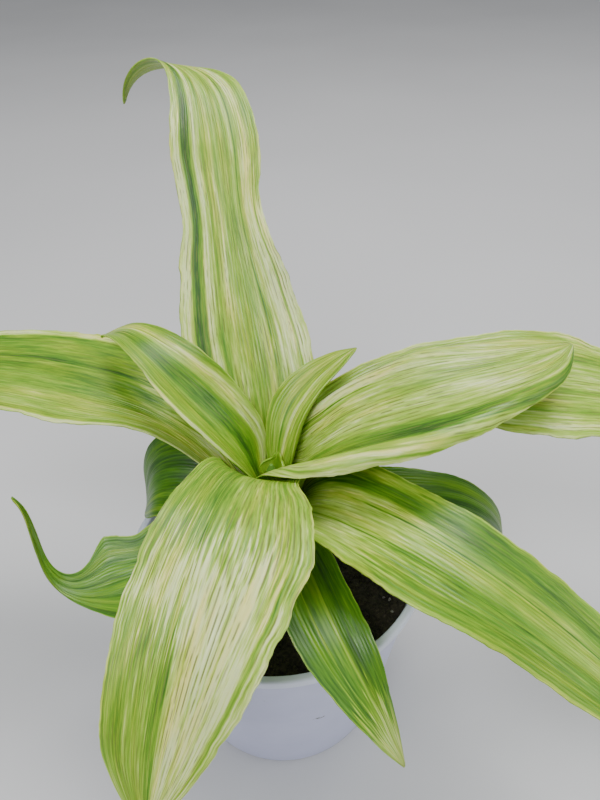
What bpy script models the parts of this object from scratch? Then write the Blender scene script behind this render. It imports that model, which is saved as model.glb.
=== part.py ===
"""Variegated callisia house plant, growing as one rosette in a plain white plastic pot.

Frame: metres, +Z up, the origin at the centre of the pot's flat base. +Y points to the back,
where the tall leaf stands. The tables below are in millimetres and degrees.
"""
import bpy
import bmesh
import numpy as np
from mathutils import Matrix

MM = 0.001
GAP = 0.3                      # clearance between pieces that touch

POT_HEIGHT = 85.0
POT_BASE_RADIUS = 39.0
POT_RIM_RADIUS = 55.0
POT_WALL = 1.2
POT_FLOOR = 2.0
LIP_HEIGHT = 3.6
LIP_REACH = 1.6                # how far the lip stands out from the wall
ROUND_STEPS = 48               # straight sides round the pot and the soil

SOIL_LEVEL = 74.0
SOIL_HOLE_DEPTH = 24.0
SOIL_ROUGHNESS = 1.1

STEM_BASE_RADIUS = 6.5         # at the level of the soil
STEM_TOP_RADIUS = 2.4
STEM_TOP = 122.0

BLADE = 0.8                    # thickness of every leaf
SHEATH = 8.0                   # height of the tube that each leaf wraps round the stem
WRAP = 95.0                    # half angle that a sheath wraps, unless its leaf has its own
FLARE = 19.0                   # half angle of the sheath's cone
SHEATH_CLEARANCE = 0.8         # from the stem to the middle of the sheath's thickness
TIP_OVER = 0.16                # part of the blade over which its section tips outward
MARGIN_STRIP = 0.3             # share of a half leaf that rolls outward where there is a curl

# Every leaf is described along its midrib, from the mouth of the sheath to the tip, by evenly
# spaced values: pitch above the horizontal, compass heading (0 = +X, 90 = +Y), roll about the
# midrib, cup (half angle of the curved section) and outline (share of the full half width).
# azimuth and node are where the sheath starts round the stem and its height above the table.
# wrap is the half angle of the sheath. curl is the angle by which the strip along a margin rolls
# outward. Values that start with left_ are those of the left half, where it differs. wave is the
# height, the count and the phase of the margins' waves.
LEAVES = {
    "leaf_back_upright": {
        "azimuth": 102, "node": 106, "wrap": 72, "length": 200, "width": 45,
        "pitch": (56, 50, 49, 48, 46, 30, -5, -78),
        "heading": (103, 103, 102, 100, 100, 114, 160, 187),
        "roll": (0, 0, 0, 0, 0, 5, 18, 27),
        "cup": (40, 25, 15, 10, 10, 20),
        "outline": (0.92, 0.98, 0.78, 0.58, 0.68, 0.61, 0.34, 0.03),
        "left_outline": (0.95, 1.05, 0.9, 0.7, 0.74, 0.56, 0.36, 0.03),
        "wave": (1.2, 3.0, 0.1)},
    "leaf_left_long": {
        "azimuth": 155, "node": 96, "wrap": 82, "length": 205, "width": 42,
        "pitch": (36, 12, 2, -9, -20, -28),
        "heading": (158, 164, 164, 162, 161, 162),
        "roll": (-14, -12, -9, -8, -5, 0),
        "cup": (46, 24, 15, 12, 10),
        "outline": (0.95, 1.0, 1.08, 1.05, 0.84, 0.7, 0.46, 0.03),
        "left_outline": (0.52, 0.56, 0.88, 0.96, 0.93, 0.74, 0.5, 0.03),
        "wave": (1.0, 3.0, 0.4)},
    "leaf_right_long": {
        "azimuth": 24, "node": 92, "wrap": 86, "length": 215, "width": 43,
        "pitch": (44, 16, -4, -16, -22, -28),
        "heading": (12, 2, -2, 0, 4, 8),
        "roll": (20, 20, 18, 15, 10, 0),
        "cup": (40, 22, 15, 12, 10),
        "outline": (0.7, 0.6, 0.78, 1.06, 1.0, 0.84, 0.56, 0.03),
        "left_outline": (0.93, 0.88, 0.88, 0.92, 0.88, 0.74, 0.5, 0.03),
        "wave": (1.2, 3.4, 0.2)},
    "leaf_front_right": {
        "azimuth": -44, "node": 99, "wrap": 80, "length": 178, "width": 33,
        "pitch": (23, -2, -16, -26, -28, -30),
        "heading": (-42, -39, -36, -34, -32, -30),
        "roll": (6, 4, 2, 0, 0, 0),
        "cup": (42, 22, 15, 12, 10),
        "outline": (1.25, 1.33, 1.34, 1.2, 0.95, 0.77, 0.5, 0.03),
        "left_outline": (1.0, 1.0, 0.94, 1.0, 0.96, 0.8, 0.5, 0.03),
        "wave": (1.0, 3.0, 0.7)},
    "leaf_front": {
        "azimuth": -107, "node": 102, "sheath": 28.0, "wrap": 64, "left_wrap": 76, "length": 149, "width": 48,
        "pitch": (50, 20, 2, -12, -24, -36, -45, -51, -54, -56),
        "heading": (-107, -106, -107, -109, -106, -100),
        "roll": (-8, -2, 0, 0, 0, 0),
        "cup": (24, 16, 12, 12, 12, 12, 10, 10),
        "outline": (0.54, 0.56, 0.62, 0.69, 0.69, 0.62, 0.5, 0.03),
        "left_outline": (0.68, 0.98, 1.2, 1.16, 1.0, 0.78, 0.47, 0.03),
        "wave": (1.0, 2.6, 0.3)},
    "leaf_upper_left": {
        "azimuth": 168, "node": 113.6, "wrap": 58, "left_wrap": 72, "length": 96, "width": 24,
        "pitch": (62, 48, 40, 18, -22, -34),
        "heading": (164, 155, 147, 140, 136, 135),
        "roll": (-8, -10, -10, -5, 0, 0),
        "cup": (60, 42, 30, 20, 15),
        "outline": (1.02, 1.1, 1.12, 0.98, 0.8, 0.62, 0.44, 0.03),
        "left_outline": (1.06, 1.1, 1.02, 0.88, 0.7, 0.54, 0.4, 0.03),
        "wave": (0.6, 2.0, 0.2)},
    "leaf_upper_right": {
        "azimuth": -12, "node": 110, "wrap": 118, "left_wrap": 80, "length": 123, "width": 37,
        "pitch": (62, 42, 30, 22, 14, 6, -2, -8),
        "heading": (-10, -8, -4, 4, 12, 20, 26, 30),
        "roll": (4, 6, 8, 10, 10, 8, 4, 0),
        "cup": (110, 70, 52, 42, 36, 30, 26, 24),
        "left_cup": (64, 48, 40, 36, 32, 28, 26, 24),
        "curl": (66, 130, 128, 115, 105, 95, 70, 40),
        "outline": (1.24, 1.44, 1.4, 1.32, 1.22, 1.02, 0.7, 0.03),
        "left_outline": (0.84, 0.98, 1.05, 0.98, 0.86, 0.66, 0.42, 0.03),
        "wave": (0.8, 2.4, 0.6)},
    "leaf_inner": {
        "azimuth": 52, "node": 117.2, "wrap": 64, "left_wrap": 52, "length": 55, "width": 22,
        "pitch": (58, 47, 41, 37, 34),
        "heading": (50, 37, 28, 23, 19),
        "roll": (0, 0, 0, 0, 0),
        "cup": (84, 76, 62, 42, 24),
        "left_cup": (70, 62, 50, 36, 20),
        "outline": (0.84, 0.96, 0.92, 0.78, 0.6, 0.44, 0.28, 0.03),
        "left_outline": (0.68, 0.86, 0.99, 0.98, 0.86, 0.68, 0.42, 0.03),
        "wave": (0.0, 2.0, 0.0)},
    "leaf_low_front": {
        "azimuth": -69, "node": 85, "wrap": 66, "length": 110, "width": 22,
        "pitch": (33, 8, -7, -34, -55, -60),
        "heading": (-73, -73, -70, -58, -44, -38),
        "roll": (12, 5, 0, 0, 0, 0),
        "cup": (42, 25, 15, 12, 10),
        "outline": (1.0, 1.18, 1.26, 1.22, 1.05, 0.76, 0.44, 0.03),
        "left_outline": (0.85, 0.85, 0.87, 0.88, 0.84, 0.68, 0.42, 0.03),
        "wave": (0.6, 2.2, 0.5)},
    "leaf_low_left": {
        "azimuth": 209, "node": 88, "wrap": 88, "length": 121, "width": 40,
        "pitch": (9, -8, -13, -11, 14, 66, 88, 56),
        "heading": (214, 210, 203, 189, 166, 122, 112, 180),
        "roll": (0, 0, -8, -22, -30, -20, 0, 0),
        "cup": (50, 25, 15, 20, 50),
        "outline": (0.95, 0.96, 0.78, 0.94, 0.38, 0.1, 0.06, 0.03),
        "left_outline": (0.95, 1.04, 1.18, 0.46, 0.1, 0.05, 0.04, 0.03),
        "wave": (0.6, 2.0, 0.3)},
    "leaf_low_back_left": {
        "azimuth": 140, "node": 81, "wrap": 86, "length": 80, "width": 34,
        "pitch": (40, 16, -16, -68, -80),
        "heading": (145, 160, 170, 175, 180),
        "roll": (-20, -36, -36, -20, 0),
        "cup": (50, 25, 15, 12, 10),
        "outline": (0.92, 1.0, 1.0, 0.96, 0.88, 0.74, 0.5, 0.03),
        "left_outline": (0.92, 1.0, 1.06, 1.12, 1.12, 1.0, 0.7, 0.03),
        "wave": (0.4, 1.6, 0.8)},
    "leaf_low_right": {
        "azimuth": 0, "node": 77, "wrap": 86, "length": 118, "width": 36,
        "pitch": (28, 9, 0, -36, -75, -80),
        "heading": (0, -4, -6, -3, 0, 0),
        "roll": (0, 0, 0, 0, 0, 0),
        "cup": (50, 25, 15, 12, 10),
        "outline": (0.92, 1.0, 1.0, 0.96, 0.88, 0.74, 0.5, 0.03),
        "wave": (0.6, 2.4, 0.1)},
    "leaf_bud": {
        "azimuth": 60, "node": 120.8, "sheath": 4.0, "length": 8, "width": 6,
        "pitch": (85, 84, 82),
        "heading": (60, 60, 60),
        "roll": (0, 0, 0),
        "cup": (75, 60, 30),
        "outline": (0.9, 0.6, 0.08),
        "wave": (0.0, 1.0, 0.0)},
}
ROWS_ALONG = 22                # stations along a long leaf
ROWS_SHORT = 18                # and along one shorter than SHORT_LEAF
SHORT_LEAF = 120.0
POINTS_ACROSS = 9


def clear_scene():
    for old in list(bpy.data.objects):
        bpy.data.objects.remove(old, do_unlink=True)


def surface_material(name, colour, roughness):
    material = bpy.data.materials.new(name)
    material.use_nodes = True
    shader = material.node_tree.nodes["Principled BSDF"]
    shader.inputs["Base Color"].default_value = (*colour, 1.0)
    shader.inputs["Roughness"].default_value = roughness
    shader.inputs["Metallic"].default_value = 0.0
    return material


def add_object(name, mesh_builder, material, sharp_degrees=35.0):
    """Turn a bmesh in millimetres into a named object in metres."""
    bmesh.ops.transform(mesh_builder, matrix=Matrix.Scale(MM, 4), verts=mesh_builder.verts)
    bmesh.ops.recalc_face_normals(mesh_builder, faces=mesh_builder.faces)
    mesh = bpy.data.meshes.new(name)
    mesh_builder.to_mesh(mesh)
    mesh_builder.free()
    mesh.materials.append(material)
    mesh.shade_smooth()
    mesh.set_sharp_from_angle(angle=np.radians(sharp_degrees))
    piece = bpy.data.objects.new(name, mesh)
    bpy.context.scene.collection.objects.link(piece)
    return piece


def ring_points(mesh_builder, radius, height, steps):
    """A ring of vertices round +Z. radius and height may be one value or one per vertex."""
    angles = 2 * np.pi * np.arange(steps) / steps
    radii, heights = np.broadcast_to(radius, steps), np.broadcast_to(height, steps)
    return [mesh_builder.verts.new((r * np.cos(a), r * np.sin(a), z))
            for r, z, a in zip(radii, heights, angles)]


def turned(rings_in, steps):
    """Closed body through rings of radius and height, with a point at each end."""
    body = bmesh.new()
    first, last = rings_in[0], rings_in[-1]
    start = body.verts.new((0, 0, float(np.mean(first[1]))))
    rings = [ring_points(body, radius, height, steps) for radius, height in rings_in]
    end = body.verts.new((0, 0, float(np.mean(last[1]))))
    for low, high in zip(rings, rings[1:]):
        for i in range(steps):
            j = (i + 1) % steps
            body.faces.new((low[i], low[j], high[j], high[i]))
    for i in range(steps):
        j = (i + 1) % steps
        body.faces.new((start, rings[0][j], rings[0][i]))
        body.faces.new((end, rings[-1][i], rings[-1][j]))
    return body


def through(values, place):
    """Smooth curve through evenly spaced values, read where place runs from 0 to 1."""
    values = np.asarray(values, float)
    last = len(values) - 1
    x = np.clip(np.asarray(place, float), 0, 1) * last
    i = np.clip(np.floor(x).astype(int), 0, last - 1)
    t = x - i
    p1, p2 = values[i], values[i + 1]
    p0 = np.where(i > 0, values[np.maximum(i - 1, 0)], 2 * p1 - p2)
    p3 = np.where(i < last - 1, values[np.minimum(i + 2, last)], 2 * p2 - p1)
    return p1 + 0.5 * t * (p2 - p0 + t * (2 * p0 - 5 * p1 + 4 * p2 - p3 + t * (3 * (p1 - p2) + p3 - p0)))


def ease(x):
    x = np.clip(x, 0, 1)
    return x * x * (3 - 2 * x)


def stem_radius(height):
    share = (height - SOIL_LEVEL) / (STEM_TOP - SOIL_LEVEL)
    return STEM_BASE_RADIUS + (STEM_TOP_RADIUS - STEM_BASE_RADIUS) * np.clip(share, 0, 1)


def leaf_surface(leaf, rows, columns):
    """Points of the leaf's middle surface, rows from the stem to the tip by columns across."""
    length, width = leaf["length"], leaf["width"]
    sheath = leaf.get("sheath", SHEATH)
    azimuth = leaf["azimuth"]
    ring = stem_radius(leaf["node"]) + SHEATH_CLEARANCE
    fine = 12
    along = length * np.linspace(0, 1, (rows - 1) * fine + 1) ** 1.15
    blade = np.clip((along - sheath) / (length - sheath), 0, 1)
    in_sheath = along < sheath
    flare = np.radians(FLARE)

    pitch = np.where(in_sheath, 90 - FLARE, through((90 - FLARE,) + leaf["pitch"], blade))
    heading = np.where(in_sheath, azimuth, through((azimuth,) + leaf["heading"], blade))
    roll = np.where(in_sheath, 0, through((0,) + leaf["roll"], blade))
    tilt = 90 + (pitch - 90) * ease(blade / TIP_OVER)
    pitch, heading, roll, tilt = (np.radians(angle) for angle in (pitch, heading, roll, tilt))

    cos_h, sin_h = np.cos(heading), np.sin(heading)
    tangent = np.stack([np.cos(pitch) * cos_h, np.cos(pitch) * sin_h, np.sin(pitch)], -1)
    foot = np.array([ring * cos_h[0], ring * sin_h[0], leaf["node"]])
    steps = (tangent[1:] + tangent[:-1]) / 2 * np.diff(along)[:, None]
    midrib = foot + np.vstack([np.zeros(3), np.cumsum(steps, 0)])
    side = np.stack([-sin_h, cos_h, 0 * heading], -1)
    inner = np.stack([-np.sin(tilt) * cos_h, -np.sin(tilt) * sin_h, np.cos(tilt)], -1)
    cos_r, sin_r = np.cos(roll)[:, None], np.sin(roll)[:, None]
    side, inner = side * cos_r + inner * sin_r, inner * cos_r - side * sin_r

    def of_side(key, usual):
        """The left half takes the right half's values unless it has its own."""
        return leaf.get(key, usual), leaf.get("left_" + key, leaf.get(key, usual))

    keep = slice(None, None, fine)
    midrib, side, inner = midrib[keep], side[keep], inner[keep]
    along, blade, in_sheath = along[keep, None], blade[keep, None], in_sheath[keep, None]
    halves, cups, curls = [], [], []
    for wrap, outline, cup, curl in zip(of_side("wrap", WRAP), of_side("outline", None),
                                        of_side("cup", None), of_side("curl", (0, 0))):
        mouth = (ring + sheath * np.sin(flare)) * np.radians(wrap)
        spread = width / 2 * through((mouth / (width / 2),) + outline, blade)
        halves.append(np.where(in_sheath, (ring + along * np.sin(flare)) * np.radians(wrap), spread))
        cups.append(np.radians(np.where(in_sheath, wrap, through((wrap,) + cup, blade))))
        curls.append(np.radians(through((0,) + curl, blade)))
    u = np.linspace(-1, 1, columns)
    half, cup, curl = (np.where(u < 0, right, left) for right, left in (halves, cups, curls))
    ridge = 1 - MARGIN_STRIP
    inside, beyond = np.minimum(np.abs(u), ridge), np.maximum(np.abs(u) - ridge, 0)
    bend = cup - curl / MARGIN_STRIP
    bend = np.where(np.abs(bend) < 0.02, 0.02, bend)
    start = cup * ridge
    across = np.sin(cup * inside) / cup + (np.sin(start + bend * beyond) - np.sin(start)) / bend
    across = np.sign(u) * half * across
    lift = (1 - np.cos(cup * inside)) / cup + (np.cos(start) - np.cos(start + bend * beyond)) / bend
    lift = half * lift
    height, count, phase = leaf["wave"]
    grow = height * ease((blade - 0.12) * 4) * ease((1 - blade) * 5)
    for sign, shift in ((-1, 0.0), (1, 0.31)):
        margin = np.clip(sign * u, 0, 1) ** 2.2
        lift = lift + grow * margin * np.sin(2 * np.pi * (count * blade + phase + shift))
        lift = lift + 0.35 * grow * margin * np.sin(2 * np.pi * (1.7 * count * blade + 2.3 * phase - shift))
    return midrib[:, None] + side[:, None] * across[..., None] + inner[:, None] * lift[..., None]


def leaf_body(leaf, rows, columns):
    """Closed blade of even thickness, split into the same triangles on both faces."""
    middle = leaf_surface(leaf, rows, columns)
    down = np.gradient(middle, axis=0)
    over = np.gradient(middle, axis=1)
    normal = np.cross(down, over)
    normal /= np.linalg.norm(normal, axis=-1, keepdims=True)
    body = bmesh.new()
    upper, lower = ([[body.verts.new(p) for p in row] for row in middle + sign * normal * BLADE / 2]
                    for sign in (1, -1))
    for i in range(rows - 1):
        for j in range(columns - 1):
            for face in (upper, lower):
                a, b, c, d = face[i][j], face[i + 1][j], face[i + 1][j + 1], face[i][j + 1]
                flip = (j < (columns - 1) // 2)
                corners = ((a, b, d), (b, c, d)) if flip else ((a, b, c), (a, c, d))
                for corner in corners:
                    body.faces.new(corner if face is upper else corner[::-1])
    border = [(i, 0) for i in range(rows)] + [(rows - 1, j) for j in range(1, columns)]
    border += [(i, columns - 1) for i in range(rows - 2, -1, -1)]
    border += [(0, j) for j in range(columns - 2, 0, -1)]
    for (i, j), (k, m) in zip(border, border[1:] + border[:1]):
        body.faces.new((upper[i][j], upper[k][m], lower[k][m], lower[i][j]))
    return body


def build_pot():
    slope = (POT_RIM_RADIUS - LIP_REACH - POT_BASE_RADIUS) / POT_HEIGHT
    lip_foot = POT_HEIGHT - LIP_HEIGHT
    wall_top = POT_BASE_RADIUS + slope * lip_foot
    inside_top = POT_RIM_RADIUS - LIP_REACH - POT_WALL
    profile = [
        (POT_BASE_RADIUS - 1.6, 0.0), (POT_BASE_RADIUS - 0.4, 0.5),
        (POT_BASE_RADIUS + slope * 1.8, 1.8), (wall_top, lip_foot),
        (POT_RIM_RADIUS - 0.3, lip_foot + 0.6), (POT_RIM_RADIUS, lip_foot + 1.3),
        (POT_RIM_RADIUS, POT_HEIGHT - 0.8), (POT_RIM_RADIUS - 0.7, POT_HEIGHT),
        (inside_top + 0.6, POT_HEIGHT), (inside_top, POT_HEIGHT - 0.6),
        (POT_BASE_RADIUS - POT_WALL + slope * (POT_FLOOR + 1.0), POT_FLOOR + 1.0),
        (POT_BASE_RADIUS - POT_WALL - 0.8, POT_FLOOR)]
    return turned(profile, ROUND_STEPS)


def soil_radius(height):
    """Just inside the pot's inner wall."""
    inside_top = POT_RIM_RADIUS - LIP_REACH - POT_WALL
    inside_low = POT_BASE_RADIUS - POT_WALL
    slope = (POT_RIM_RADIUS - LIP_REACH - POT_BASE_RADIUS) / POT_HEIGHT
    low = inside_low + slope * (POT_FLOOR + 1.0)
    share = (height - POT_FLOOR - 1.0) / (POT_HEIGHT - 0.6 - POT_FLOOR - 1.0)
    return low + (inside_top - low) * share - GAP - 0.05


def build_soil():
    """Packed soil, level to about a millimetre, with a plain hole for the stem."""
    angles = 2 * np.pi * np.arange(ROUND_STEPS) / ROUND_STEPS
    hole = STEM_BASE_RADIUS + GAP + 0.1
    floor = SOIL_LEVEL - SOIL_HOLE_DEPTH
    rings = [(POT_BASE_RADIUS - POT_WALL - 1.6, POT_FLOOR + GAP),
             (soil_radius(POT_FLOOR + 2.0), POT_FLOOR + 2.0)]
    edge = soil_radius(SOIL_LEVEL)
    for share in (1.0, 0.86, 0.70, 0.54, 0.38, 0.24):
        lumps = (np.sin(3 * angles + 9 * share) + 0.8 * np.sin(7 * angles - 21 * share)
                 + 0.6 * np.sin(11 * angles + 37 * share)) / 2.4
        fade = 0.25 if share == 1.0 else 1.0
        height = SOIL_LEVEL - 1.6 * share ** 6 + SOIL_ROUGHNESS * fade * lumps
        radius = soil_radius(height) if share == 1.0 else hole + (edge - hole) * share
        rings.append((radius, height))
    rings += [(hole, SOIL_LEVEL), (hole, floor)]
    return turned(rings, ROUND_STEPS)


def build_stem():
    """Short fleshy stem, pinched a little under each leaf, with its foot in the soil's hole."""
    foot = SOIL_LEVEL - SOIL_HOLE_DEPTH + GAP
    rings = [(STEM_BASE_RADIUS - 1.2, foot), (STEM_BASE_RADIUS - 0.2, foot + 1.2),
             (STEM_BASE_RADIUS - 0.2, SOIL_LEVEL - 4.0), (stem_radius(SOIL_LEVEL), SOIL_LEVEL)]
    for leaf in sorted(LEAVES.values(), key=lambda item: item["node"]):
        node = leaf["node"]
        if node < STEM_TOP - 3.0:
            rings.append((stem_radius(node) - 0.35, node - 0.9))
            rings.append((stem_radius(node + 1.2) - 0.02, node + 0.8))
    rings += [(stem_radius(STEM_TOP - 1.0), STEM_TOP - 1.0), (STEM_TOP_RADIUS * 0.7, STEM_TOP + 2.0),
              (STEM_TOP_RADIUS * 0.25, STEM_TOP + 4.6)]
    return turned(rings, 20)


clear_scene()

white_plastic = surface_material("pot_white_plastic", (0.72, 0.74, 0.78), 0.38)
dark_soil = surface_material("potting_soil", (0.020, 0.017, 0.015), 0.95)
stem_green = surface_material("stem_green", (0.36, 0.46, 0.18), 0.45)
cream_green = surface_material("leaf_cream_green", (0.52, 0.62, 0.28), 0.42)
deep_green = surface_material("leaf_deep_green", (0.11, 0.22, 0.06), 0.42)

add_object("pot", build_pot(), white_plastic, 30.0)
add_object("soil", build_soil(), dark_soil, 60.0)
add_object("stem", build_stem(), stem_green, 60.0)
for leaf_name, leaf_values in LEAVES.items():
    along_leaf = ROWS_ALONG if leaf_values["length"] > SHORT_LEAF else ROWS_SHORT
    across_leaf = POINTS_ACROSS
    if leaf_name == "leaf_bud":
        along_leaf, across_leaf = 10, 9
    shade = deep_green if "_low_" in leaf_name else cream_green
    add_object(leaf_name, leaf_body(leaf_values, along_leaf, across_leaf), shade, 60.0)
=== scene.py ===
"""Variegated callisia house plant in a plain white pot: the finish of every piece, the light and
the camera. Lengths in the tables are millimetres and angles are degrees; meshes are in metres.
"""
import bmesh
import bpy
import numpy as np
from mathutils import Matrix, Vector


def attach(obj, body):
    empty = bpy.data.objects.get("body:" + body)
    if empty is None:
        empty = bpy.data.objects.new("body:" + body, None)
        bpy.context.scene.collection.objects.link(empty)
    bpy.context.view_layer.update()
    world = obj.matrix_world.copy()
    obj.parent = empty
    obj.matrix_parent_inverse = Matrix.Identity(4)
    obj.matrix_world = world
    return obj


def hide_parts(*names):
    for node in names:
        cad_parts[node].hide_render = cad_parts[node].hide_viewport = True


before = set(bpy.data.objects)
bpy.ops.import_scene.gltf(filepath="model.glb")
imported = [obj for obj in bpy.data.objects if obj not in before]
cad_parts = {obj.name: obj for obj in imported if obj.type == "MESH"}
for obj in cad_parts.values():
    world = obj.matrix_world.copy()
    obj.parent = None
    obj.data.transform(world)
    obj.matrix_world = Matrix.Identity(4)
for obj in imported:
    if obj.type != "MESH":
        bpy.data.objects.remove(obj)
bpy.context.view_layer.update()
MM = 0.001


# The camera stands in front of the pot and looks down on it, turned a touch to its left. Its
# place, its slope and its lens were worked out from how the rim of the pot shows.
CAMERA_PLACE = (0.01047, -0.17446, 0.28769)
CAMERA_DOWN, CAMERA_ROLL = 37.5, -1.9
CAMERA_LENS = 31.5


def put(name, data):
    """A new object with this data, in the scene."""
    made = bpy.data.objects.new(name, data)
    bpy.context.scene.collection.objects.link(made)
    return made


camera = put("camera", bpy.data.cameras.new("camera"))
camera.data.lens = CAMERA_LENS
camera.matrix_world = (Matrix.Translation(CAMERA_PLACE)
                       @ Matrix.Rotation(np.radians(90 - CAMERA_DOWN), 4, "X")
                       @ Matrix.Rotation(np.radians(CAMERA_ROLL), 4, "Z"))
bpy.context.scene.camera = camera


# The pot is thin white plastic, moulded in one piece with a rolled lip. Its wall shows the faint
# rings of the mould, a few specks of soil and one short scuff at the front. The top of its lip is
# painted whiter than the wall: a painted highlight where the rim catches the light.
POT_HEIGHT, POT_BASE_RADIUS, POT_RIM_RADIUS = 85.0, 39.0, 55.0
POT_WALL, POT_FLOOR = 1.2, 2.0
LIP_HEIGHT, LIP_REACH = 3.6, 1.6
BASE_ROUND, FLOOR_ROUND = 1.6, 1.0     # radii of the rounded corners
LIP_FOOT_ROUND, LIP_TOP_ROUND, LIP_INSIDE_ROUND = 0.7, 1.0, 0.8
POT_SLOPE = (POT_RIM_RADIUS - LIP_REACH - POT_BASE_RADIUS) / POT_HEIGHT
INSIDE_TOP_RADIUS = POT_RIM_RADIUS - LIP_REACH - POT_WALL
INSIDE_LOW_RADIUS = POT_BASE_RADIUS - POT_WALL + POT_SLOPE * (POT_FLOOR + FLOOR_ROUND)
POT_STEPS, POT_ROWS = 160, 60          # round the pot, and up its wall
SAME_POINT = 1e-6                      # metres; points that are closer are merged
MOULD_RINGS = (22.0, 48.0, 66.0)       # heights of the faint rings in the wall
RING_DEPTH, RING_WIDTH = 0.12, 0.9
SCUFF_PLACE = (13.5, -44.3, 43.3)
SCUFF_CORE, SCUFF_RADIUS = 1.6, 3.0
WALL_WHITES = ((0.35, (0.63, 0.65, 0.88)), (0.65, (0.69, 0.71, 0.93)))
LIP_PAINTED_HIGHLIGHT = (0.80, 0.84, 1.0)          # painted highlight: the top of the lip, a little whiter than the wall
LIP_HIGHLIGHT_FROM, LIP_HIGHLIGHT_FULL = 4.2, 2.6      # below the top of the lip
SOIL_STAIN = (0.03, 0.028, 0.03)


class Number:
    """A number that nodes work out, so that the sums of a tree read as plain arithmetic."""

    def __init__(self, tree, socket):
        self.tree, self.socket = tree, socket

    def __add__(self, other):
        return maths(self.tree, "ADD", self, other)

    def __mul__(self, other):
        return maths(self.tree, "MULTIPLY", self, other)

    def __sub__(self, other):
        return maths(self.tree, "SUBTRACT", self, other)

    def __rsub__(self, other):
        return maths(self.tree, "SUBTRACT", other, self)

    def __truediv__(self, other):
        return maths(self.tree, "DIVIDE", self, other)

    def __pow__(self, power):
        return maths(self.tree, "POWER", self, power)

    def __abs__(self):
        return maths(self.tree, "ABSOLUTE", self)


def feed(tree, socket, value):
    """Link a worked-out value to a socket, or set a plain one."""
    if isinstance(value, Number):
        value = value.socket
    if isinstance(value, bpy.types.NodeSocket):
        tree.links.new(value, socket)
    else:
        socket.default_value = value


def add_node(tree, kind, inputs=None, **settings):
    """A node with its settings made and its inputs fed."""
    made = tree.nodes.new(kind)
    for name, value in settings.items():
        setattr(made, name, value)
    for name, value in (inputs or {}).items():
        feed(tree, made.inputs[name], value)
    return made


def node_out(tree, kind, inputs=None, **settings):
    """The first output of a new node."""
    return add_node(tree, kind, inputs, **settings).outputs[0]


def number_node(tree, kind, inputs=None, **settings):
    """The same output, as a number."""
    return Number(tree, node_out(tree, kind, inputs, **settings))


def maths(tree, operation, *values):
    return number_node(tree, "ShaderNodeMath", dict(enumerate(values)), operation=operation)


def smooth_step(tree, value, start, stop, low=0.0, high=1.0):
    """low before start and high after stop, with a soft change between."""
    inputs = {"Value": value, "From Min": start, "From Max": stop, "To Min": low, "To Max": high}
    return number_node(tree, "ShaderNodeMapRange", inputs, interpolation_type="SMOOTHSTEP")


def noise(tree, place, scale, detail=2.0, roughness=0.5):
    inputs = {"Vector": place, "Scale": scale, "Detail": detail, "Roughness": roughness}
    return number_node(tree, "ShaderNodeTexNoise", inputs)


def coordinates(tree, vector):
    """The three numbers of a vector."""
    parts = add_node(tree, "ShaderNodeSeparateXYZ", {0: vector}).outputs
    return [Number(tree, part) for part in parts]


def added(tree, first, second):
    """The sum of two vectors."""
    return node_out(tree, "ShaderNodeVectorMath", {0: first, 1: second}, operation="ADD")


def colour_ramp(tree, value, stops):
    """stops are (place, (red, green, blue))."""
    made = add_node(tree, "ShaderNodeValToRGB", {"Fac": value})
    ramp = made.color_ramp
    while len(ramp.elements) < len(stops):
        ramp.elements.new(0.5)
    for element, (place, colour) in zip(ramp.elements, stops):
        element.position = place
        element.color = (*colour, 1.0)
    return made.outputs[0]


def mix_colours(tree, share, first, second, way="MIX"):
    """Two colours mixed; each is a node's or (red, green, blue)."""
    made = add_node(tree, "ShaderNodeMix", {0: share}, data_type="RGBA", blend_type=way)
    for index, colour in ((6, first), (7, second)):
        feed(tree, made.inputs[index], (*colour, 1.0) if isinstance(colour, tuple) else colour)
    return made.outputs[2]


def new_material(name):
    """An empty material; gives it, its tree and its shader."""
    material = bpy.data.materials.new(name)
    material.use_nodes = True
    return material, material.node_tree, material.node_tree.nodes["Principled BSDF"]


def place_on_piece(tree):
    return add_node(tree, "ShaderNodeTexCoord").outputs["Object"]


def bump(tree, shader, height, distance, strength=1.0):
    inputs = {"Height": height, "Distance": distance, "Strength": strength}
    feed(tree, shader.inputs["Normal"], node_out(tree, "ShaderNodeBump", inputs))


def finish_piece(piece, node, sharp=40.0):
    """Smooth the piece, let it ride on the part and stand for its CAD node."""
    piece.data.shade_smooth()
    piece.data.set_sharp_from_angle(angle=np.radians(sharp))
    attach(piece, "root")
    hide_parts(node)


def turned_mesh(name, profile, steps, material):
    """Spin a profile of (radius, height) once round +Z into a closed body."""
    shell = bmesh.new()
    corners = [shell.verts.new((r * MM, 0, z * MM)) for r, z in profile]
    start, end = (shell.verts.new((0, 0, z * MM)) for z in (profile[0][1], profile[-1][1]))
    chain = [start, *corners, end]
    edges = [shell.edges.new(pair) for pair in zip(chain, chain[1:])]
    bmesh.ops.spin(shell, geom=chain + edges, cent=(0, 0, 0), axis=(0, 0, 1),
                   angle=2 * np.pi, steps=steps, use_duplicate=False)
    bmesh.ops.remove_doubles(shell, verts=shell.verts, dist=SAME_POINT)
    bmesh.ops.recalc_face_normals(shell, faces=shell.faces)
    mesh = bpy.data.meshes.new(name)
    shell.to_mesh(mesh)
    shell.free()
    mesh.materials.append(material)
    return put(name, mesh)


def arc(centre_r, centre_z, radius, start, stop, steps):
    """Points of a rounded corner, between two angles."""
    angles = np.radians(np.linspace(start, stop, steps))
    return [(centre_r + radius * np.cos(a), centre_z + radius * np.sin(a)) for a in angles]


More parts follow.
